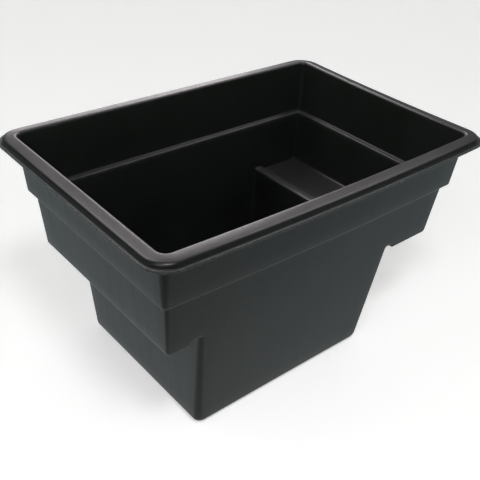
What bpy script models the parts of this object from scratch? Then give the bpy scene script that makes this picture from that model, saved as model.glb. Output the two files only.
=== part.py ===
"""Stepped plastic mixing tub, formed from one sheet.

The tub is an open shell: a wide rim, an upper tier, a narrow ledge all round,
a middle tier, and a deep well between two shallow end shelves.  A low kerb
separates each shelf from the well.

Metres, +Z up, +X along the tub.  The origin is the middle of the bounding box,
on the surface that the tub stands on.  Sections are measured on the upper face
of the sheet, which faces into the tub; the thickness of the sheet lies behind
it.  Depths are measured down from the sharp corner that the rim's inner round
cuts off, which is HEIGHT above the ground, and insets inwards from the edge of
the lip.
"""
import math

import bmesh
import bpy
from mathutils import Vector

# Overall size and the sheet
LENGTH = 1.000
WIDTH = 0.672
HEIGHT = 0.593
SHEET = 0.004

# Rim: a band that falls slightly outwards, a round drop outside it, and a
# narrow lip round the foot of the drop, whose edge is turned down
LIP_WIDTH = 0.0075
LIP_DEPTH = 0.0145
LIP_TURN = 0.006
DROP_DRAFT = 0.0015
BAND_WIDTH = 0.035
BAND_FALL = 0.0045
BAND_OUTER_ROUND = 0.0105
BAND_INNER_ROUND = 0.009
LIP_CORNER = 0.058
BAND_CORNER = 0.054
WALL_TOP_CORNER = 0.018

# Upper tier and the ledge at its foot
LEDGE_DEPTH = 0.144
LEDGE_INSET = 0.056
LEDGE_WIDTH = 0.0135
LEDGE_CORNER = 0.004
TIER_CORNER = 0.005

# Middle tier down to the shelves
SHELF_DEPTH = 0.2915
SHELF_INSET = 0.0825

# Well, at the top of the kerbs and at the floor
WELL_LEFT_TOP = -0.3335
WELL_LEFT_FOOT = -0.3105
WELL_RIGHT_TOP = 0.259
WELL_RIGHT_FOOT = 0.2365
WELL_TOP_CORNER = 0.008
WELL_FOOT_CORNER = 0.014
FLOOR_CORNER = 0.001
FLOOR_ROUND = 0.020

# Kerb between each shelf and the well
KERB_HEIGHT = 0.010
KERB_WIDTH = 0.026
KERB_SLOPE = 0.004

# Outward bow of the front wall at the ledge and at the floor, and the inward
# bow of the right end's rim
FRONT_BOW = 0.009
FLOOR_BOW = -0.003
END_BOW = 0.007

# Fineness of the rounds
CORNER_STEPS = 5
ROUND_STEPS = 3
MERGE_DISTANCE = 0.00002
SMOOTH_ANGLE = math.radians(32)

COLOUR = (0.017, 0.0185, 0.019, 1.0)
ROUGHNESS = 0.42

# Worked out from the above
FLOOR_DEPTH = HEIGHT - SHEET
KERB_DEPTH = SHELF_DEPTH - KERB_HEIGHT
WALL_INSET = LIP_WIDTH + BAND_WIDTH
TIER_INSET = LEDGE_INSET + LEDGE_WIDTH
LOWER_DRAFT = (SHELF_INSET - TIER_INSET) / (SHELF_DEPTH - LEDGE_DEPTH)


def between(start, end, share):
    """Value part of the way from start to end."""
    return start + (end - start) * share


def bow_shape(distance, half_side):
    """1 in the middle of a side, falling to 0 where its corners begin."""
    return max(0.0, 1.0 - (distance / (half_side - LIP_CORNER)) ** 2)


def placed(x, y, depth):
    """Coordinates of a point of the sheet, with the walls' slight bow."""
    below_ledge = max(0.0, (depth - LEDGE_DEPTH) / (FLOOR_DEPTH - LEDGE_DEPTH))
    above_ledge = max(0.0, 1.0 - depth / LEDGE_DEPTH)
    new_x, new_y = x, y
    if y < 0.0:
        bow = between(FRONT_BOW, FLOOR_BOW, below_ledge)
        new_y += y / (WIDTH / 2) * bow * bow_shape(x, LENGTH / 2)
    if x > 0.0:
        new_x -= x / (LENGTH / 2) * END_BOW * above_ledge * bow_shape(y, WIDTH / 2)
    return (new_x, new_y, -depth)


def lower_half_width(depth):
    """Half width between the long walls below the ledge, one plane each."""
    return WIDTH / 2 - TIER_INSET - LOWER_DRAFT * (depth - LEDGE_DEPTH)


def well_end(side, depth):
    """X of the well's end wall, with side -1 for the left and 1 for the right."""
    share = (depth - KERB_DEPTH) / (FLOOR_DEPTH - KERB_DEPTH)
    if side < 0:
        return between(WELL_LEFT_TOP, WELL_LEFT_FOOT, share)
    return between(WELL_RIGHT_TOP, WELL_RIGHT_FOOT, share)


def kerb_top_x(side):
    """X of the shelf side of a kerb's flat top."""
    return well_end(side, KERB_DEPTH) + side * KERB_WIDTH


def kerb_foot_x(side):
    """X where a kerb meets its shelf."""
    return kerb_top_x(side) + side * KERB_SLOPE


def well_stations(left, right):
    """Three X values that divide the straight part of the well's long walls."""
    return [between(left, right, share) for share in (0.25, 0.5, 0.75)]


def wall_stations():
    """X values that divide the long walls above the well."""
    left = WELL_LEFT_TOP + WELL_TOP_CORNER
    right = WELL_RIGHT_TOP - WELL_TOP_CORNER
    middle = [left] + well_stations(left, right) + [right]
    return [kerb_foot_x(-1), kerb_top_x(-1)] + middle + [kerb_top_x(1), kerb_foot_x(1)]


def end_stations(half_width):
    """Y values that divide an end wall."""
    return [half_width * share for share in (-0.5, 0.0, 0.5)]


def quarter(x, y, radius, first_angle):
    """Points of a quarter circle about (x, y), anticlockwise."""
    points = []
    for step in range(CORNER_STEPS + 1):
        angle = math.radians(first_angle + 90 * step / CORNER_STEPS)
        points.append((x + radius * math.cos(angle), y + radius * math.sin(angle)))
    return points


def section(left, right, half_width, radius, stations):
    """Outline of the tub at one level, anticlockwise from the front wall."""
    ends = end_stations(half_width - radius)
    outline = [(x, -half_width) for x in stations]
    outline += quarter(right - radius, radius - half_width, radius, -90)
    outline += [(right, y) for y in ends]
    outline += quarter(right - radius, half_width - radius, radius, 0)
    outline += [(x, half_width) for x in reversed(stations)]
    outline += quarter(left + radius, half_width - radius, radius, 90)
    outline += [(left, y) for y in reversed(ends)]
    outline += quarter(left + radius, radius - half_width, radius, 180)
    return outline


def inset_section(inset, radius):
    """Outline that lies inside the lip's edge by the inset."""
    half_length = LENGTH / 2 - inset
    return section(-half_length, half_length, WIDTH / 2 - inset, radius, wall_stations())


def rounded(before, corner, after, radius):
    """Points of the arc that rounds a corner between two straight runs."""
    if radius == 0.0:
        return [corner]
    back = (before - corner).normalized()
    ahead = (after - corner).normalized()
    half_angle = back.angle(ahead) / 2
    reach = radius / math.tan(half_angle)
    centre = corner + (back + ahead).normalized() * radius / math.sin(half_angle)
    first = corner + back * reach - centre
    last = corner + ahead * reach - centre
    spokes = [first.slerp(last, step / ROUND_STEPS).normalized() for step in range(ROUND_STEPS + 1)]
    return [centre + spoke * radius for spoke in spokes]


def upper_levels():
    """(depth, inset, corner radius) from the lip's edge to the ledge's edge.

    Round an edge, the corner radius shrinks by as much as the inset grows.
    """
    corners = [
        (0.0, LIP_DEPTH + LIP_TURN, 0.0, LIP_CORNER),
        (0.0, LIP_DEPTH, 0.0, LIP_CORNER),
        (LIP_WIDTH - DROP_DRAFT, LIP_DEPTH, 0.0, BAND_CORNER + DROP_DRAFT),
        (LIP_WIDTH, BAND_FALL, BAND_OUTER_ROUND, BAND_CORNER),
        (WALL_INSET, 0.0, BAND_INNER_ROUND, WALL_TOP_CORNER),
        (LEDGE_INSET, LEDGE_DEPTH, 0.0, LEDGE_CORNER),
        (TIER_INSET, LEDGE_DEPTH, 0.0, TIER_CORNER),
    ]
    spots = [Vector(corner[:2]) for corner in corners]
    befores = spots[:1] + spots[:-1]
    afters = spots[1:] + spots[-1:]
    levels = []
    for before, spot, after, corner in zip(befores, spots, afters, corners):
        for inset, depth in rounded(before, spot, after, corner[2]):
            levels.append((depth, inset, corner[3] + corner[0] - inset))
    return levels


def add_loop(mesh, points):
    """Vertices at (x, y, depth) points."""
    return [mesh.verts.new(placed(*point)) for point in points]


def bridge(mesh, outer, inner, closed=True):
    """Quads between two rows of as many vertices."""
    count = len(outer) if closed else len(outer) - 1
    for index in range(count):
        after = (index + 1) % len(outer)
        mesh.faces.new((outer[index], outer[after], inner[after], inner[index]))


def shelf_outline():
    """Foot of the middle tier, which steps up where the kerbs and well are."""
    level = inset_section(SHELF_INSET, TIER_CORNER)
    points = []
    for x, y in level:
        over_well = kerb_foot_x(-1) < x < kerb_foot_x(1)
        if over_well:
            points.append((x, math.copysign(lower_half_width(KERB_DEPTH), y), KERB_DEPTH))
        else:
            points.append((x, y, SHELF_DEPTH))
    return points


def add_tiers(mesh):
    """Rim, upper tier, ledge and middle tier."""
    rows = []
    for depth, inset, radius in upper_levels():
        rows.append([(x, y, depth) for x, y in inset_section(inset, radius)])
    rows.append(shelf_outline())
    loops = [add_loop(mesh, row) for row in rows]
    for outer, inner in zip(loops, loops[1:]):
        bridge(mesh, outer, inner)


def well_outline(depth, step, radius):
    """Outline of the well at a depth, drawn in by a step on every side."""
    left = well_end(-1, depth) + step
    right = well_end(1, depth) - step
    stations = well_stations(left + radius, right - radius)
    half_width = lower_half_width(depth) - step
    return [(x, y, depth) for x, y in section(left, right, half_width, radius, stations)]


def add_well(mesh):
    """Well walls, the round at their foot and the flat floor."""
    rows = [well_outline(KERB_DEPTH, 0.0, WELL_TOP_CORNER)]
    for step in range(ROUND_STEPS + 1):
        angle = math.radians(90 * step / ROUND_STEPS)
        up = FLOOR_ROUND * (1 - math.sin(angle))
        across = FLOOR_ROUND * (1 - math.cos(angle))
        corner = max(FLOOR_CORNER, WELL_FOOT_CORNER - across)
        rows.append(well_outline(FLOOR_DEPTH - up, across, corner))
    loops = [add_loop(mesh, row) for row in rows]
    for outer, inner in zip(loops, loops[1:]):
        bridge(mesh, outer, inner)
    return mesh.faces.new(loops[-1])


def across_tub(x, depth):
    """Points of a straight line from the front wall to the back wall."""
    half_width = lower_half_width(depth)
    return [(x, y, depth) for y in [-half_width] + end_stations(half_width) + [half_width]]


def add_shelf(mesh, side):
    """Shelf floor and kerb at one end of the tub."""
    foot_row = across_tub(kerb_foot_x(side), SHELF_DEPTH)
    top_row = across_tub(kerb_top_x(side), KERB_DEPTH)
    bridge(mesh, add_loop(mesh, foot_row), add_loop(mesh, top_row), closed=False)

    tier_row = [point for point in shelf_outline() if point[0] * side > kerb_foot_x(side) * side]
    well_row = [point for point in well_outline(KERB_DEPTH, 0.0, WELL_TOP_CORNER)
                if point[0] * side >= (well_end(side, KERB_DEPTH) - side * WELL_TOP_CORNER) * side]
    if side > 0:
        foot_row.reverse()
        top_row.reverse()
    else:
        tier_row = turned(tier_row)
        well_row = turned(well_row)
    mesh.faces.new(add_loop(mesh, tier_row + foot_row))
    mesh.faces.new(add_loop(mesh, well_row + top_row))


def turned(row):
    """A left-hand row, started again at the back wall."""
    start = max(range(len(row)), key=lambda index: (row[index][1], row[index][0]))
    return row[start:] + row[:start]


def build_sheet():
    """Upper face of the tub's sheet as one open mesh."""
    mesh = bmesh.new()
    add_tiers(mesh)
    floor = add_well(mesh)
    for side in (-1, 1):
        add_shelf(mesh, side)
    bmesh.ops.remove_doubles(mesh, verts=mesh.verts[:], dist=MERGE_DISTANCE)
    bmesh.ops.recalc_face_normals(mesh, faces=mesh.faces[:])
    lowest = min(mesh.faces, key=lambda face: face.calc_center_median().z)
    if lowest.normal.z < 0.0:
        bmesh.ops.reverse_faces(mesh, faces=mesh.faces[:])
    data = bpy.data.meshes.new("tub_shell")
    mesh.to_mesh(data)
    mesh.free()
    return data


def plastic():
    """Black polyethylene."""
    material = bpy.data.materials.new("black_plastic")
    material.use_nodes = True
    shader = material.node_tree.nodes["Principled BSDF"]
    shader.inputs["Base Color"].default_value = COLOUR
    shader.inputs["Roughness"].default_value = ROUGHNESS
    return material


def build_tub(collection):
    """The tub, standing on the ground with its bounding box centred."""
    data = build_sheet()
    data.materials.append(plastic())
    data.shade_smooth()
    data.set_sharp_from_angle(angle=SMOOTH_ANGLE)
    tub = bpy.data.objects.new("tub_shell", data)
    tub.location = (0.0, FRONT_BOW / 2, HEIGHT)
    collection.objects.link(tub)
    thickness = tub.modifiers.new("sheet", "SOLIDIFY")
    thickness.thickness = SHEET
    thickness.offset = -1.0
    thickness.use_even_offset = True


def main():
    for old in list(bpy.data.objects):
        bpy.data.objects.remove(old, do_unlink=True)
    collection = bpy.data.collections.new("mixing_tub")
    bpy.context.scene.collection.children.link(collection)
    build_tub(collection)


main()
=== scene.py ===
"""Looks of the stepped plastic mixing tub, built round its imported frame.

The tub's formed sheet is made again with fine rounds, small fillets, a rolled
lip edge and the faint waves of formed plastic, and stands for the plain solid.

Metres, +Z up, in the frame's own coordinates.  Sections are measured on the
upper face of the sheet, which faces into the tub.  Depths run down from the
sharp corner that the rim's inner round cuts off, and insets inwards from the
edge of the lip.
"""
import math
import bmesh
import bpy
import numpy as np
from mathutils import Matrix, Vector, noise


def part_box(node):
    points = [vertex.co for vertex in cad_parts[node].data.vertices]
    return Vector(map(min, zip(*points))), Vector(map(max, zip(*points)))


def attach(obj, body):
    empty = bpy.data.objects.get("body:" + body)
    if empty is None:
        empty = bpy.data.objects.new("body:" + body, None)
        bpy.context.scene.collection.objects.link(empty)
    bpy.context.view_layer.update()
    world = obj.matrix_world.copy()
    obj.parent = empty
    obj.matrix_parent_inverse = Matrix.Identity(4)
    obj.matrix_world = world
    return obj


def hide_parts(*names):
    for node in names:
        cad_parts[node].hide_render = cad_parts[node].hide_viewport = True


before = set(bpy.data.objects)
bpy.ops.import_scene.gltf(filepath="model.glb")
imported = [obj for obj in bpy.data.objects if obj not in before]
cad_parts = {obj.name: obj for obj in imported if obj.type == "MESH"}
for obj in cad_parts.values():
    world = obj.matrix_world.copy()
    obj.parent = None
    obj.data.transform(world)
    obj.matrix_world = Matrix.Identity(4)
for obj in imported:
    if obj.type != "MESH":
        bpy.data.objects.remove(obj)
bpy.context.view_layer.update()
LOW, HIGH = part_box("tub_shell")

# Bow of the front wall at the ledge and at the floor, and of the right end's rim
FRONT_BOW = 0.009
FLOOR_BOW = -0.003
END_BOW = 0.007

# Overall size, from the frame, and up to the sharp corner of the rim's section
LENGTH = HIGH.x - LOW.x
WIDTH = HIGH.y - LOW.y - FRONT_BOW
HEIGHT = 0.593
TOP = LOW.z + HEIGHT
MIDDLE_Y = (HIGH.y + LOW.y + FRONT_BOW) / 2
SHEET = 0.004

# Rim
LIP_WIDTH = 0.0075
LIP_DEPTH = 0.0145
LIP_TURN = 0.006
DROP_DRAFT = 0.0015
BAND_WIDTH = 0.035
BAND_FALL = 0.0045
LIP_CORNER = 0.058
BAND_CORNER = 0.054
WALL_TOP_CORNER = 0.018
LIP_FILLET = 0.0012
BAND_OUTER_ROUND = 0.0105
BAND_INNER_ROUND = 0.00925
LIP_EDGE_ROUND = 0.0017
LIP_EDGE_STEPS = 4
LIP_EDGE_ANGLE = math.radians(60)

# Upper tier, ledge and middle tier
LEDGE_DEPTH = 0.144
LEDGE_INSET = 0.056
LEDGE_WIDTH = 0.0135
LEDGE_CORNER = 0.0065
TIER_CORNER = 0.005
LEDGE_FILLET = 0.005
LEDGE_ROUND = 0.0046
SHELF_DEPTH = 0.2915
SHELF_INSET = 0.0825

# Well and kerbs
WELL_LEFT_TOP = -0.3335
WELL_LEFT_FOOT = -0.3105
WELL_RIGHT_TOP = 0.259
WELL_RIGHT_FOOT = 0.2365
KERB_HEIGHT = 0.010
KERB_WIDTH = 0.026
KERB_SLOPE = 0.004
SHELF_ROUND = 0.008
KERB_FOOT_ROUND = 0.004
KERB_TOP_ROUND = 0.0045
WELL_EDGE_ROUND = 0.005
FLOOR_ROUND = 0.022

# Fillets between the long walls and what crosses the tub
SHELF_SIDE_FILLET = 0.003
KERB_SIDE_FILLET = 0.0035
WELL_TOP_FILLET = 0.008
WELL_FOOT_FILLET = 0.014

# Fineness
CORNER_STEPS = 8
ROUND_STEPS = 6
LEAST_ROUND_STEPS = 3
CELL = 0.028

# Slow waves of the formed walls
WAVE_HEIGHT = 0.0004
WAVE_LENGTH = 0.22
STILL_DEPTH = 0.03
WAVY_DEPTH = 0.08
STILL_FLOOR = 0.03

# Wear, and the painted edge highlight that goes with it, show fully on outward bends of this
# radius or less
FULL_WEAR_AND_HIGHLIGHT_ROUND = 0.0035

# Points nearer than this count as one
SHORTEST_EDGE = 0.0001

# The plastic's colours and gloss
DARK = (0.0042, 0.0052, 0.0044)
LIGHT = (0.0066, 0.0078, 0.0070)
# Colour of dust, and also of painted light that lightens faces looking up
DUST_AND_TOP_LIGHT = (0.076, 0.070, 0.077)
# Colour of scratches and wear, which on outward bends is also a painted edge highlight
SCUFF_AND_HIGHLIGHT = (0.150, 0.148, 0.150)
SPECULAR = 0.22
ROUGHNESS = 0.32

# Its patterns: scale per metre, detail and, where they are drawn out, stretch
MOTTLE = (7.0, 4.0)
DRAW_LINES = (85.0, 4.0, (1.0, 1.0, 0.05))
FINE_LINES = (420.0, 2.0, (1.0, 1.0, 0.04))
PEEL = (120.0, 2.0)
GRAIN = (1500.0, 2.0)
LONG_SCRATCHES = (420.0, 1.0, (0.05, 1.0, 0.3))
CROSS_SCRATCHES = (420.0, 1.0, (1.0, 0.05, 0.4))
SCRATCHED_PATCHES = (6.0, 2.0)
DUST_AND_TOP_LIGHT_PATCHES = (30.0, 6.0)
WEAR_AND_HIGHLIGHT_PATCHES = (140.0, 4.0)

# Ranges that are spread from 0 to 1: of noise, of facing upwards and of wear with its painted
# edge highlight
MOTTLE_RANGE = (0.3, 0.7)
SCRATCH_RANGE = (0.72, 0.78)
SCRATCHED_RANGE = (0.50, 0.62)
LEVEL_RANGE = (0.80, 1.0)
SHARP_RANGE = (0.4, 0.8)

# Ranges of noise, and what they are spread over instead
DUST_AND_TOP_LIGHT_CLOUDS = (0.25, 0.75, 0.6, 1.0)
WEAR_AND_HIGHLIGHT_CLOUDS = (0.40, 0.68, 0.3, 1.0)
ROUGHNESS_SWING = (0.25, 0.75, -0.03, 0.03)

# How far dust with painted top light, scratches, and wear with painted edge highlights tint the
# plastic, and what they add to its roughness
DUST_AND_TOP_LIGHT_TINT, SCRATCH_TINT, WEAR_AND_HIGHLIGHT_TINT = 0.15, 0.10, 0.22
DUST_ROUGHNESS, SCRATCH_ROUGHNESS, WEAR_ROUGHNESS = 0.05, 0.08, -0.06

# Heights of its relief
PEEL_HEIGHT = 0.00012
DRAW_LINE_HEIGHT = 0.00010
FINE_LINE_HEIGHT = 0.00003
GRAIN_HEIGHT = 0.00003

# Corners of the rim's section, and of the profile along the tub below the ledge
LEDGE_EDGE = 6
LEFT_SHELF_FOOT, LEFT_KERB_TOP, LEFT_WELL_EDGE, LEFT_WELL_FOOT = 1, 3, 4, 5
RIGHT_WELL_FOOT, RIGHT_WELL_EDGE, RIGHT_KERB_TOP, RIGHT_KERB_FOOT = 6, 7, 8, 9

# Worked out from the above
FLOOR_DEPTH = HEIGHT - SHEET
KERB_DEPTH = SHELF_DEPTH - KERB_HEIGHT
WALL_INSET = LIP_WIDTH + BAND_WIDTH
TIER_INSET = LEDGE_INSET + LEDGE_WIDTH
LOWER_DRAFT = (SHELF_INSET - TIER_INSET) / (SHELF_DEPTH - LEDGE_DEPTH)


def between(start, end, share):
    """Value part of the way from start to end."""
    return start + (end - start) * share


def spaced(start, end, cell=CELL):
    """Evenly spaced values from start to end, both included."""
    count = max(1, round(abs(end - start) / cell))
    return [between(start, end, step / count) for step in range(count + 1)]


END_SHARES = spaced(-1.0, 1.0, 2 * CELL / (WIDTH - 2 * SHELF_INSET))[1:-1]


# ---------------------------------------------------------------- the section

def bow_shape(distance, half_side):
    """1 in the middle of a side, falling to 0 where its corners begin."""
    return max(0.0, 1.0 - (distance / (half_side - LIP_CORNER)) ** 2)


def placed(x, y, depth):
    """Coordinates in the frame of a point of the sheet, with the walls' bow."""
    below_ledge = max(0.0, (depth - LEDGE_DEPTH) / (FLOOR_DEPTH - LEDGE_DEPTH))
    above_ledge = max(0.0, 1.0 - depth / LEDGE_DEPTH)
    new_x, new_y = x, y
    if y < 0.0:
        bow = between(FRONT_BOW, FLOOR_BOW, below_ledge)
        new_y += y / (WIDTH / 2) * bow * bow_shape(x, LENGTH / 2)
    if x > 0.0:
        new_x -= x / (LENGTH / 2) * END_BOW * above_ledge * bow_shape(y, WIDTH / 2)
    return Vector((new_x, new_y + MIDDLE_Y, TOP - depth))


def left_of(way):
    """The direction to the left of a way, with the second axis pointing down."""
    return Vector((way.y, -way.x)).normalized()


def arc_at(before, corner, after, radius):
    """Centre and end spokes of the arc that rounds a corner."""
    back = (before - corner).normalized()
    ahead = (after - corner).normalized()
    half_angle = back.angle(ahead) / 2
    reach = radius / math.tan(half_angle)
    centre = corner + (back + ahead).normalized() * radius / math.sin(half_angle)
    return centre, corner + back * reach - centre, corner + ahead * reach - centre


def add_run(points, end, place):
    """Cuts the straight run from the last point to the end into cells."""
    start, _, start_place = points[-1]
    normal = left_of(end - start)
    shares = spaced(0.0, 1.0, CELL / max(CELL, (end - start).length))
    for share in shares[1:]:
        points.append((start.lerp(end, share), normal, between(start_place, place, share)))


def rounded(corners):
    """Points along a polyline of (x, y, radius) corners, with tangent arcs.

    Gives (point, normal, place).  The normal lies to the left of the way along.
    The place is the index of a corner on its arc, and a fraction on the runs.
    """
    spots = [Vector(corner[:2]) for corner in corners]
    points = [(spots[0], left_of(spots[1] - spots[0]), 0.0)]
    for index in range(1, len(corners) - 1):
        radius = corners[index][2]
        if radius == 0.0:
            add_run(points, spots[index], float(index))
            continue
        centre, first, last = arc_at(*spots[index - 1:index + 2], radius)
        add_run(points, centre + first, float(index))
        side = 1.0 if first.dot(points[-1][1]) > 0.0 else -1.0
        quarters = first.angle(last) / math.radians(90)
        steps = max(LEAST_ROUND_STEPS, math.ceil(ROUND_STEPS * quarters))
        for step in range(1, steps + 1):
            spoke = first.slerp(last, step / steps).normalized()
            points.append((centre + spoke * radius, side * spoke, float(index)))
    add_run(points, spots[-1], len(corners) - 1.0)
    return points


def lower_half_width(depth):
    """Half width between the long walls below the ledge, one plane each."""
    return WIDTH / 2 - TIER_INSET - LOWER_DRAFT * (depth - LEDGE_DEPTH)


def upper_levels():
    """(depth, inset, corner radius) from the lip's edge to below the ledge.

    Round an edge, the corner radius shrinks by as much as the inset grows.
    """
    corners = [
        (0.0, LIP_DEPTH + LIP_TURN, 0.0, LIP_CORNER),
        (0.0, LIP_DEPTH, 0.0, LIP_CORNER),
        (LIP_WIDTH - DROP_DRAFT, LIP_DEPTH, LIP_FILLET, BAND_CORNER + DROP_DRAFT),
        (LIP_WIDTH, BAND_FALL, BAND_OUTER_ROUND, BAND_CORNER),
        (WALL_INSET, 0.0, BAND_INNER_ROUND, WALL_TOP_CORNER),
        (LEDGE_INSET, LEDGE_DEPTH, LEDGE_FILLET, LEDGE_CORNER),
        (TIER_INSET, LEDGE_DEPTH, LEDGE_ROUND, TIER_CORNER),
        (SHELF_INSET, SHELF_DEPTH, 0.0, TIER_CORNER),
    ]
    levels = []
    for (inset, depth), _, place in rounded([corner[:3] for corner in corners]):
        if place > LEDGE_EDGE:
            break
        before, after = corners[math.floor(place)], corners[math.ceil(place)]
        radius = between(before[3] + before[0], after[3] + after[0], place % 1.0) - inset
        levels.append((depth, inset, radius))
    return levels


def lower_corners(first_depth, first_inset):
    """Corners (x, depth, radius, side fillet) from ledge to ledge over the floor."""
    left = first_inset - LENGTH / 2
    shelf = SHELF_INSET - LENGTH / 2
    left_kerb = WELL_LEFT_TOP - KERB_WIDTH
    right_kerb = WELL_RIGHT_TOP + KERB_WIDTH
    return [
        (left, first_depth, 0.0, TIER_CORNER),
        (shelf, SHELF_DEPTH, SHELF_ROUND, SHELF_SIDE_FILLET),
        (left_kerb - KERB_SLOPE, SHELF_DEPTH, KERB_FOOT_ROUND, SHELF_SIDE_FILLET),
        (left_kerb, KERB_DEPTH, KERB_TOP_ROUND, KERB_SIDE_FILLET),
        (WELL_LEFT_TOP, KERB_DEPTH, WELL_EDGE_ROUND, WELL_TOP_FILLET),
        (WELL_LEFT_FOOT, FLOOR_DEPTH, FLOOR_ROUND, WELL_FOOT_FILLET),
        (WELL_RIGHT_FOOT, FLOOR_DEPTH, FLOOR_ROUND, WELL_FOOT_FILLET),
        (WELL_RIGHT_TOP, KERB_DEPTH, WELL_EDGE_ROUND, WELL_TOP_FILLET),
        (right_kerb, KERB_DEPTH, KERB_TOP_ROUND, KERB_SIDE_FILLET),
        (right_kerb + KERB_SLOPE, SHELF_DEPTH, KERB_FOOT_ROUND, SHELF_SIDE_FILLET),
        (-shelf, SHELF_DEPTH, SHELF_ROUND, SHELF_SIDE_FILLET),
        (-left, first_depth, 0.0, TIER_CORNER),
    ]


def lower_profile(corners):
    """(point, normal, place, side fillet) along the tub below the ledge."""
    profile = []
    for point, normal, place in rounded([corner[:3] for corner in corners]):
        before, after = corners[math.floor(place)][3], corners[math.ceil(place)][3]
        profile.append((point, normal, place, between(before, after, place % 1.0)))
    return profile


def side_fillet(station, angle):
    """(x, half width, depth) on the fillet between a long wall and the profile."""
    point, normal, _, radius = station
    x, depth = point + normal * radius * (1 - math.cos(angle))
    return x, lower_half_width(depth) - radius * (1 - math.sin(angle)), depth


def wall_foot(station):
    """(x, half width, depth) where the side fillet meets the long wall."""
    return side_fillet(station, math.radians(90))


# ------------------------------------------------------------------- the mesh

def quarter(x, y, radius, first_angle):
    """Points of a quarter circle about (x, y), anticlockwise."""
    angles = [math.radians(first_angle + 90 * step / CORNER_STEPS)
              for step in range(CORNER_STEPS + 1)]
    return [(x + radius * math.cos(a), y + radius * math.sin(a)) for a in angles]


def section(depth, inset, radius, long_stations):
    """Points of the sheet at one level, anticlockwise from the front wall."""
    end_x, side_y = LENGTH / 2 - inset, WIDTH / 2 - inset
    ends = [(side_y - radius) * share for share in END_SHARES]
    outline = [(x, -side_y) for x in long_stations]
    outline += quarter(end_x - radius, radius - side_y, radius, -90)
    outline += [(end_x, y) for y in ends]
    outline += quarter(end_x - radius, side_y - radius, radius, 0)
    outline += [(x, side_y) for x in reversed(long_stations)]
    outline += quarter(radius - end_x, side_y - radius, radius, 90)
    outline += [(-end_x, y) for y in reversed(ends)]
    outline += quarter(radius - end_x, radius - side_y, radius, 180)
    return [(x, y, depth) for x, y in outline]


def cross_row(station):
    """Points of the sheet across the tub at a profile station, front to back."""
    fillet = [side_fillet(station, math.radians(90 * step / CORNER_STEPS))
              for step in range(CORNER_STEPS, -1, -1)]
    x, half_width, depth = fillet[-1]
    front = [(fx, -fy, fd) for fx, fy, fd in fillet]
    middle = [(x, half_width * share, depth) for share in END_SHARES]
    return front + middle + fillet[::-1]


def add_row(mesh, points):
    """Vertices at (x, y, depth) points of the sheet."""
    return [mesh.verts.new(placed(*point)) for point in points]


def fill(mesh, upper, lower, pairs=None):
    """Faces between two rows of vertices, joined at pairs of their indexes."""
    pairs = pairs or [(index, index) for index in range(len(upper))]
    for (top, foot), (next_top, next_foot) in zip(pairs, pairs[1:]):
        ring = upper[top:next_top + 1] + lower[foot:next_foot + 1][::-1]
        mesh.faces.new([vert for index, vert in enumerate(ring)
                        if vert is not ring[index - 1]])


def at_place(profile, place):
    """Indexes of the profile's stations on a corner's arc."""
    return [index for index, station in enumerate(profile) if station[2] == place]


def on_run(profile, place):
    """Indexes of the profile's stations on the run after a corner."""
    return [index for index, station in enumerate(profile) if place < station[2] < place + 1]


def well_rim(profile):
    """Indexes of the middle of the arcs at the well's two edges."""
    left, right = at_place(profile, LEFT_WELL_EDGE), at_place(profile, RIGHT_WELL_EDGE)
    return left[len(left) // 2], right[len(right) // 2]


def wall_anchors(profile):
    """Indexes of the stations that upright lines on a long wall lead down to."""
    left, right = well_rim(profile)
    before = on_run(profile, LEFT_SHELF_FOOT) + at_place(profile, LEFT_KERB_TOP)[-1:] + [left]
    after = [right] + at_place(profile, RIGHT_KERB_TOP)[:1] + on_run(profile, RIGHT_KERB_FOOT)
    return before, after


def well_points(profile, left, right):
    """Points on a long wall between two stations, as many as along the floor."""
    start, end = wall_foot(profile[left]), wall_foot(profile[right])
    columns = len(on_run(profile, LEFT_WELL_FOOT)) + 1
    points = []
    for column in range(1, columns):
        x = between(start[0], end[0], column / columns)
        depth = between(start[2], end[2], column / columns)
        points.append((x, lower_half_width(depth), depth))
    return points


def long_stations(profile):
    """X of the upright lines on the long walls."""
    before, after = wall_anchors(profile)
    middle = [x for x, _, _ in well_points(profile, before[-1], after[0])]
    return ([wall_foot(profile[index])[0] for index in before] + middle
            + [wall_foot(profile[index])[0] for index in after])


def add_upper_wall(mesh, side, profile, foot, top_row):
    """One long wall between the ledge and the shelves.  Gives its row over the well."""
    before, after = wall_anchors(profile)
    levels = on_run(profile, 0)
    last = len(profile) - 1
    rows = [top_row]
    for index in levels:
        depth = wall_foot(profile[index])[2]
        line = [(x, side * lower_half_width(depth), depth) for x in long_stations(profile)]
        rows.append([foot[index]] + add_row(mesh, line) + [foot[last - index]])
    for upper, lower in zip(rows, rows[1:]):
        fill(mesh, upper, lower)

    over_well = add_row(mesh, [(x, side * y, depth) for x, y, depth
                               in well_points(profile, before[-1], after[0])])
    start, end = levels[-1], last - levels[-1]
    chain = foot[start:before[-1] + 1] + over_well + foot[after[0]:end + 1]
    places = [0] + [index - start for index in before]
    places += [places[-1] + step for step in range(1, len(over_well) + 1)]
    places += [places[-1] + 1 + index - after[0] for index in after + [end]]
    fill(mesh, rows[-1], chain, list(enumerate(places)))
    return [foot[before[-1]]] + over_well + [foot[after[0]]]


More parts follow.
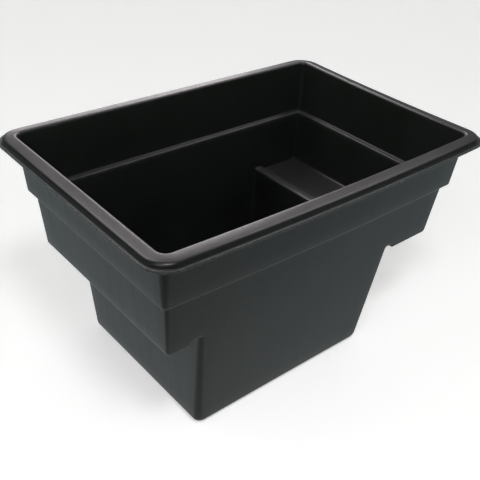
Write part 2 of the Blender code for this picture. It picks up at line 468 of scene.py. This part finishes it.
def add_well_wall(mesh, side, profile, foot, top_row):
    """One long wall of the well, from the kerbs down to the floor's round."""
    left_edge, right_edge = well_rim(profile)
    lefts = on_run(profile, LEFT_WELL_EDGE)
    rights = on_run(profile, RIGHT_WELL_FOOT)[::-1]
    rows = []
    for left, right in zip(lefts, rights):
        line = [(x, side * y, depth) for x, y, depth in well_points(profile, left, right)]
        rows.append([foot[left]] + add_row(mesh, line) + [foot[right]])
    for upper, lower in zip(rows, rows[1:]):
        fill(mesh, upper, lower)

    columns = len(top_row) - 1
    left_part, right_part = foot[left_edge:lefts[0]], foot[rights[0] + 1:right_edge + 1]
    chain = left_part + rows[0] + right_part
    first = len(left_part)
    middle = [(column, first + column) for column in range(1, columns)]
    fill(mesh, top_row, chain, [(0, 0)] + middle + [(columns, len(chain) - 1)])

    floor = on_run(profile, LEFT_WELL_FOOT)
    chain = foot[lefts[-1]:rights[-1] + 1]
    middle = [(column + 1, index - lefts[-1]) for column, index in enumerate(floor)]
    fill(mesh, rows[-1], chain, [(0, 0)] + middle + [(columns, len(chain) - 1)])


def add_rings(mesh, levels, stations):
    """The rim, the upper tier and the ledge.  Gives their lowest ring."""
    rings = [add_row(mesh, section(*level, stations)) for level in levels]
    for outer, inner in zip(rings, rings[1:]):
        fill(mesh, outer + outer[:1], inner + inner[:1])
    return rings[-1]


def add_lower_part(mesh, profile, ring, long_count):
    """Everything below the ledge, hung from the ring at its edge."""
    end_count = len(END_SHARES) + 2 * (CORNER_STEPS + 1)
    right_row = ring[long_count:long_count + end_count]
    left_row = ring[2 * long_count + end_count:][::-1]
    crossing = [add_row(mesh, cross_row(station)) for station in profile[1:-1]]
    rows = [left_row] + crossing + [right_row]
    for before, after in zip(rows, rows[1:]):
        fill(mesh, before, after)
    long_rows = {
        -1: ring[:long_count],
        1: ring[long_count + end_count:2 * long_count + end_count][::-1],
    }
    for side, edge in ((-1, 0), (1, -1)):
        foot = [row[edge] for row in rows]
        top_row = [foot[0]] + long_rows[side] + [foot[-1]]
        over_well = add_upper_wall(mesh, side, profile, foot, top_row)
        add_well_wall(mesh, side, profile, foot, over_well)


def add_waves(mesh):
    """Moves the walls in and out by a little, and leaves the rim and floor alone."""
    mesh.normal_update()
    for vert in mesh.verts:
        depth = TOP - vert.co.z
        upper = min(1.0, max(0.0, (depth - STILL_DEPTH) / (WAVY_DEPTH - STILL_DEPTH)))
        lower = min(1.0, max(0.0, (FLOOR_DEPTH - depth) / STILL_FLOOR))
        wave = noise.noise(vert.co / WAVE_LENGTH)
        vert.co += vert.normal * WAVE_HEIGHT * wave * upper * lower


def build_sheet():
    """Upper face of the tub's sheet as one open mesh."""
    mesh = bmesh.new()
    levels = upper_levels()
    first_depth, first_inset, _ = levels[-1]
    profile = lower_profile(lower_corners(first_depth, first_inset))
    stations = long_stations(profile)
    ring = add_rings(mesh, levels, stations)
    add_lower_part(mesh, profile, ring, len(stations))
    bmesh.ops.recalc_face_normals(mesh, faces=mesh.faces[:])
    lowest = min(mesh.faces, key=lambda face: face.calc_center_median().z)
    if lowest.normal.z < 0.0:
        bmesh.ops.reverse_faces(mesh, faces=mesh.faces[:])
    add_waves(mesh)
    data = bpy.data.meshes.new("tub")
    mesh.to_mesh(data)
    mesh.free()
    return data


def mark_bends(data):
    """Stores how sharply the surface bends outwards at each vertex, from 0 to 1."""
    places = np.empty((len(data.vertices), 3), np.float32)
    normals = np.empty((len(data.vertices), 3), np.float32)
    ends = np.empty((len(data.edges), 2), np.int32)
    data.vertices.foreach_get("co", places.ravel())
    data.vertex_normals.foreach_get("vector", normals.ravel())
    data.edges.foreach_get("vertices", ends.ravel())
    start, end = ends[:, 0], ends[:, 1]
    run = places[end] - places[start]
    turn = normals[end] - normals[start]
    bend = (turn * run).sum(axis=1) / np.maximum((run * run).sum(axis=1), SHORTEST_EDGE ** 2)
    sharpest = np.zeros(len(data.vertices), np.float32)
    np.maximum.at(sharpest, start, bend)
    np.maximum.at(sharpest, end, bend)
    # The bends drive wear and painted edge highlights in the material
    wear_and_highlight = data.attributes.new("wear_and_highlight", "FLOAT", "POINT")
    wear_and_highlight.data.foreach_set("value", np.clip(sharpest * FULL_WEAR_AND_HIGHLIGHT_ROUND, 0.0, 1.0))


def build_tub():
    """The tub's sheet at its full thickness, with a rolled lip edge."""
    blank = bpy.data.objects.new("blank", build_sheet())
    bpy.context.scene.collection.objects.link(blank)
    sheet = blank.modifiers.new("sheet", "SOLIDIFY")
    sheet.thickness = SHEET
    sheet.offset = -1.0
    sheet.use_even_offset = True
    edge = blank.modifiers.new("lip edge", "BEVEL")
    edge.width = LIP_EDGE_ROUND
    edge.segments = LIP_EDGE_STEPS
    edge.limit_method = "ANGLE"
    edge.angle_limit = LIP_EDGE_ANGLE
    blank.data.shade_smooth()
    formed = blank.evaluated_get(bpy.context.evaluated_depsgraph_get())
    data = bpy.data.meshes.new_from_object(formed)
    bpy.data.objects.remove(blank, do_unlink=True)
    mark_bends(data)
    tub = bpy.data.objects.new("formed_tub", data)
    bpy.context.scene.collection.objects.link(tub)
    return tub


# ------------------------------------------------------------------ materials

def add_node(tree, kind, inputs=None, **settings):
    """A shader node with its settings and the values of its free inputs."""
    node = tree.nodes.new(kind)
    for name, value in settings.items():
        setattr(node, name, value)
    for name, value in (inputs or {}).items():
        node.inputs[name].default_value = value
    return node


def maths(tree, operation, first, second):
    """A sum, product or other pairing of two values, either of them a number."""
    node = add_node(tree, "ShaderNodeMath", operation=operation)
    for socket, value in zip(node.inputs, (first, second)):
        if isinstance(value, (int, float)):
            socket.default_value = value
        else:
            tree.links.new(value, socket)
    return node.outputs["Value"]


def ranged(tree, value, low, high, to_low=0.0, to_high=1.0):
    """A value mapped from one range to another, and held at the ends."""
    node = add_node(tree, "ShaderNodeMapRange",
                    {"From Min": low, "From Max": high, "To Min": to_low, "To Max": to_high})
    tree.links.new(value, node.inputs["Value"])
    return node.outputs["Result"]


def cloud(tree, place, scale, detail, stretch=(1.0, 1.0, 1.0)):
    """Noise of a scale per metre, with a low stretch where it is drawn out."""
    spread = add_node(tree, "ShaderNodeVectorMath", {1: stretch}, operation="MULTIPLY")
    noise_node = add_node(tree, "ShaderNodeTexNoise", {"Scale": scale, "Detail": detail})
    tree.links.new(place, spread.inputs[0])
    tree.links.new(spread.outputs["Vector"], noise_node.inputs["Vector"])
    return noise_node.outputs["Fac"]


def tinted(tree, share, low, high):
    """A colour between two, by a share."""
    node = add_node(tree, "ShaderNodeMix", data_type="RGBA")
    for name, colour in (("A", low), ("B", high)):
        socket = [item for item in node.inputs if item.name == name and item.type == "RGBA"][0]
        if isinstance(colour, tuple):
            socket.default_value = (*colour, 1.0)
        else:
            tree.links.new(colour, socket)
    tree.links.new(share, node.inputs["Factor"])
    return [item for item in node.outputs if item.type == "RGBA"][0]


def raised(tree, height, distance, below=None):
    """A bump of a height from 0 to 1 times a distance, on top of another bump."""
    node = add_node(tree, "ShaderNodeBump", {"Distance": distance})
    tree.links.new(height, node.inputs["Height"])
    if below:
        tree.links.new(below, node.inputs["Normal"])
    return node.outputs["Normal"]


def scratches(tree, place, pattern):
    """Thin scratches in patches, from the peaks of a pattern, as a mask."""
    lines = ranged(tree, cloud(tree, place, *pattern), *SCRATCH_RANGE)
    patches = ranged(tree, cloud(tree, place, *SCRATCHED_PATCHES), *SCRATCHED_RANGE)
    return maths(tree, "MULTIPLY", lines, patches)


def dust_and_top_light(tree, place):
    """Dust on faces that look up, with painted light that makes those faces lighter, as a mask.
    """
    surface = add_node(tree, "ShaderNodeNewGeometry")
    split = add_node(tree, "ShaderNodeSeparateXYZ")
    tree.links.new(surface.outputs["Normal"], split.inputs["Vector"])
    level = ranged(tree, split.outputs["Z"], *LEVEL_RANGE)
    patchy = ranged(tree, cloud(tree, place, *DUST_AND_TOP_LIGHT_PATCHES), *DUST_AND_TOP_LIGHT_CLOUDS)
    return maths(tree, "MULTIPLY", level, patchy)


def rubbed_and_highlighted(tree, place):
    """Broken wear and painted highlights along the outward bends, as a mask."""
    bends = add_node(tree, "ShaderNodeAttribute", attribute_name="wear_and_highlight")
    sharp = ranged(tree, bends.outputs["Fac"], *SHARP_RANGE)
    broken = ranged(tree, cloud(tree, place, *WEAR_AND_HIGHLIGHT_PATCHES), *WEAR_AND_HIGHLIGHT_CLOUDS)
    return maths(tree, "MULTIPLY", sharp, broken)


def black_plastic():
    """Black polyethylene, drawn down in a mould, rubbed, scratched and dusty, with painted light
    on faces that look up and painted highlights on outward bends.
    """
    material = bpy.data.materials.new("black_polyethylene")
    material.use_nodes = True
    tree = material.node_tree
    shader = tree.nodes["Principled BSDF"]
    shader.inputs["Specular IOR Level"].default_value = SPECULAR
    place = add_node(tree, "ShaderNodeTexCoord").outputs["Object"]

    mottle = cloud(tree, place, *MOTTLE)
    draw_lines = cloud(tree, place, *DRAW_LINES)
    dusty_and_top_lit, worn_and_highlighted = dust_and_top_light(tree, place), rubbed_and_highlighted(tree, place)
    marks = maths(tree, "MAXIMUM", scratches(tree, place, CROSS_SCRATCHES),
                  scratches(tree, place, LONG_SCRATCHES))

    colour = tinted(tree, ranged(tree, mottle, *MOTTLE_RANGE), DARK, LIGHT)
    gloss = maths(tree, "ADD", ranged(tree, draw_lines, *ROUGHNESS_SWING),
                  ranged(tree, mottle, *ROUGHNESS_SWING))
    # Dust also paints light onto faces that look up, and wear also paints highlights along
    # outward bends
    for mask, paint, tint, rougher in (
            (dusty_and_top_lit, DUST_AND_TOP_LIGHT, DUST_AND_TOP_LIGHT_TINT, DUST_ROUGHNESS),
            (marks, SCUFF_AND_HIGHLIGHT, SCRATCH_TINT, SCRATCH_ROUGHNESS),
            (worn_and_highlighted, SCUFF_AND_HIGHLIGHT, WEAR_AND_HIGHLIGHT_TINT, WEAR_ROUGHNESS)):
        colour = tinted(tree, maths(tree, "MULTIPLY", mask, tint), colour, paint)
        gloss = maths(tree, "ADD", gloss, maths(tree, "MULTIPLY", mask, rougher))
    tree.links.new(colour, shader.inputs["Base Color"])
    tree.links.new(maths(tree, "ADD", gloss, ROUGHNESS), shader.inputs["Roughness"])

    bumps = raised(tree, cloud(tree, place, *PEEL), PEEL_HEIGHT)
    bumps = raised(tree, draw_lines, DRAW_LINE_HEIGHT, bumps)
    bumps = raised(tree, cloud(tree, place, *FINE_LINES), FINE_LINE_HEIGHT, bumps)
    bumps = raised(tree, cloud(tree, place, *GRAIN), GRAIN_HEIGHT, bumps)
    tree.links.new(bumps, shader.inputs["Normal"])
    return material


# ---------------------------------------------------------------------- scene

CAMERA_PLACE = Vector((-1.0798, -1.1811, 1.3423))
CAMERA_AZIMUTH = math.radians(-42.04)
CAMERA_ELEVATION = math.radians(33.30)
CAMERA_ROLL = math.radians(4.02)
CAMERA_LENS = 55.4
FLOOR_RADIUS = 7.0
FLOOR_STEPS = 96
COVE_RADIUS = 3.0
COVE_STEP = math.radians(10)
WALL_HEIGHT = 9.0
FLOOR_COLOUR = (0.9, 0.9, 0.9, 1.0)
FLOOR_ROUGHNESS = 0.9
FLOOR_SPECULAR = 0.1
GLOW_COLOUR = (1.0, 1.0, 1.0, 1.0)
GLOW_STRENGTH = 0.34

# Colours of the studio that the tub reflects
GROUND = (0.43, 0.52, 0.545)
NEAR_GROUND = (0.76, 0.79, 0.79)
DIM_GROUND = (0.20, 0.21, 0.19)
CEILING = (0.12, 0.12, 0.11)

# They blend over these ranges: of a direction's rise, and of how far it points
# to the front left, which takes an equal share of its x and y
NEAR_RANGE = (-0.9, -0.4)
HORIZON_RANGE = (-0.05, 0.15)
CORNER_RANGE = (0.45, 0.80)
CORNER_SHARE = -0.707

# Softboxes: azimuth and elevation in degrees, width, height and watts.
# The second group lights only the tub, in a warm white.
LIGHTS_AIM = Vector((0.0, 0.0, 0.45))
LIGHTS_DISTANCE = 3.5
ROOM_LIGHTS = {
    "left_light": (212, 36, 1.7, 1.7, 30.0),
    "front_light": (240, 58, 0.7, 0.7, 40.0),
}
TUB_LIGHTS = {
    "back_light": (66, 12, 2.0, 1.3, 30.0),
    "back_card": (52, 38, 1.0, 1.2, 66.0),
    "right_edge_light": (4, 55, 1.4, 1.4, 46.0),
    "back_edge_light": (103, 55, 1.5, 1.5, 76.0),
}
WARM = (1.0, 0.93, 0.95)


def add_camera():
    """The camera, above the tub's near left corner and tipped a little."""
    back = Vector((math.sin(CAMERA_AZIMUTH) * math.cos(CAMERA_ELEVATION),
                   -math.cos(CAMERA_AZIMUTH) * math.cos(CAMERA_ELEVATION),
                   math.sin(CAMERA_ELEVATION)))
    level = Vector((math.cos(CAMERA_AZIMUTH), math.sin(CAMERA_AZIMUTH), 0.0))
    above = back.cross(level)
    right = level * math.cos(CAMERA_ROLL) + above * math.sin(CAMERA_ROLL)
    turn = Matrix((right, back.cross(right), back)).transposed()
    camera = bpy.data.objects.new("camera", bpy.data.cameras.new("camera"))
    camera.matrix_world = Matrix.Translation(CAMERA_PLACE) @ turn.to_4x4()
    camera.data.lens = CAMERA_LENS
    bpy.context.scene.collection.objects.link(camera)
    bpy.context.scene.camera = camera


def add_softbox(name, azimuth, elevation, width, height, power):
    """A soft light that looks at the tub from a direction."""
    turn, climb = math.radians(azimuth), math.radians(elevation)
    away = Vector((math.cos(turn) * math.cos(climb),
                   math.sin(turn) * math.cos(climb),
                   math.sin(climb)))
    light = bpy.data.lights.new(name, "AREA")
    light.shape = "RECTANGLE"
    light.size, light.size_y = width, height
    light.energy = power
    box = bpy.data.objects.new(name, light)
    box.location = LIGHTS_AIM + away * LIGHTS_DISTANCE
    box.rotation_euler = (-away).to_track_quat("-Z", "Y").to_euler()
    box.visible_camera = False
    bpy.context.scene.collection.objects.link(box)
    return box


def floor_mesh():
    """A disc whose edge curves up into a wall."""
    cove = [(FLOOR_RADIUS + COVE_RADIUS * math.sin(angle), COVE_RADIUS * (1.0 - math.cos(angle)))
            for angle in spaced(0.0, math.radians(90), COVE_STEP)]
    outline = [(0.0, 0.0)] + cove + [(FLOOR_RADIUS + COVE_RADIUS, WALL_HEIGHT)]
    mesh = bmesh.new()
    verts = [mesh.verts.new((x, 0.0, z)) for x, z in outline]
    edges = [mesh.edges.new(pair) for pair in zip(verts, verts[1:])]
    bmesh.ops.spin(mesh, geom=verts + edges, cent=(0.0, 0.0, 0.0), axis=(0.0, 0.0, 1.0),
                   angle=math.radians(360), steps=FLOOR_STEPS)
    bmesh.ops.remove_doubles(mesh, verts=mesh.verts[:], dist=SHORTEST_EDGE)
    data = bpy.data.meshes.new("floor")
    mesh.to_mesh(data)
    mesh.free()
    data.shade_smooth()
    return data


def pale_floor():
    """Dull, nearly white and glowing a little."""
    material = bpy.data.materials.new("pale_floor")
    material.use_nodes = True
    shader = material.node_tree.nodes["Principled BSDF"]
    shader.inputs["Base Color"].default_value = FLOOR_COLOUR
    shader.inputs["Roughness"].default_value = FLOOR_ROUGHNESS
    shader.inputs["Specular IOR Level"].default_value = FLOOR_SPECULAR
    shader.inputs["Emission Color"].default_value = GLOW_COLOUR
    shader.inputs["Emission Strength"].default_value = GLOW_STRENGTH
    return material


def add_floor():
    """The floor under the tub, which the tub doesn't reflect."""
    floor = bpy.data.objects.new("floor", floor_mesh())
    floor.location.z = LOW.z
    floor.visible_glossy = False
    floor.data.materials.append(pale_floor())
    bpy.context.scene.collection.objects.link(floor)


def add_studio():
    """A dim ceiling over a pale ground, which the tub reflects instead of the floor.

    The ground is brighter straight below, and dimmer on the side that the tub's
    front left corner faces.
    """
    world = bpy.data.worlds.new("studio")
    world.use_nodes = True
    tree = world.node_tree
    way = add_node(tree, "ShaderNodeTexCoord").outputs["Generated"]
    split = add_node(tree, "ShaderNodeSeparateXYZ")
    tree.links.new(way, split.inputs["Vector"])
    outward = ranged(tree, split.outputs["Z"], *NEAR_RANGE)
    ground = tinted(tree, outward, NEAR_GROUND, GROUND)
    across = maths(tree, "ADD", split.outputs["X"], split.outputs["Y"])
    to_corner = maths(tree, "MULTIPLY", across, CORNER_SHARE)
    ground = tinted(tree, ranged(tree, to_corner, *CORNER_RANGE), ground, DIM_GROUND)
    rise = ranged(tree, split.outputs["Z"], *HORIZON_RANGE)
    tree.links.new(tinted(tree, rise, ground, CEILING), tree.nodes["Background"].inputs["Color"])
    bpy.context.scene.world = world


def light_scene(tub):
    """Soft studio light, with softboxes that light the tub and not the floor."""
    add_studio()
    bpy.context.scene.view_settings.view_transform = "Standard"
    tub_only = bpy.data.collections.new("tub_only")
    tub_only.objects.link(tub)
    for name, settings in ROOM_LIGHTS.items():
        add_softbox(name, *settings)
    for name, settings in TUB_LIGHTS.items():
        box = add_softbox(name, *settings)
        box.data.color = WARM
        box.light_linking.receiver_collection = tub_only


def main():
    """Builds the looks round the frame."""
    tub = build_tub()
    tub.data.materials.append(black_plastic())
    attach(tub, "root")
    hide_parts("tub_shell")
    add_floor()
    light_scene(tub)
    add_camera()


main()
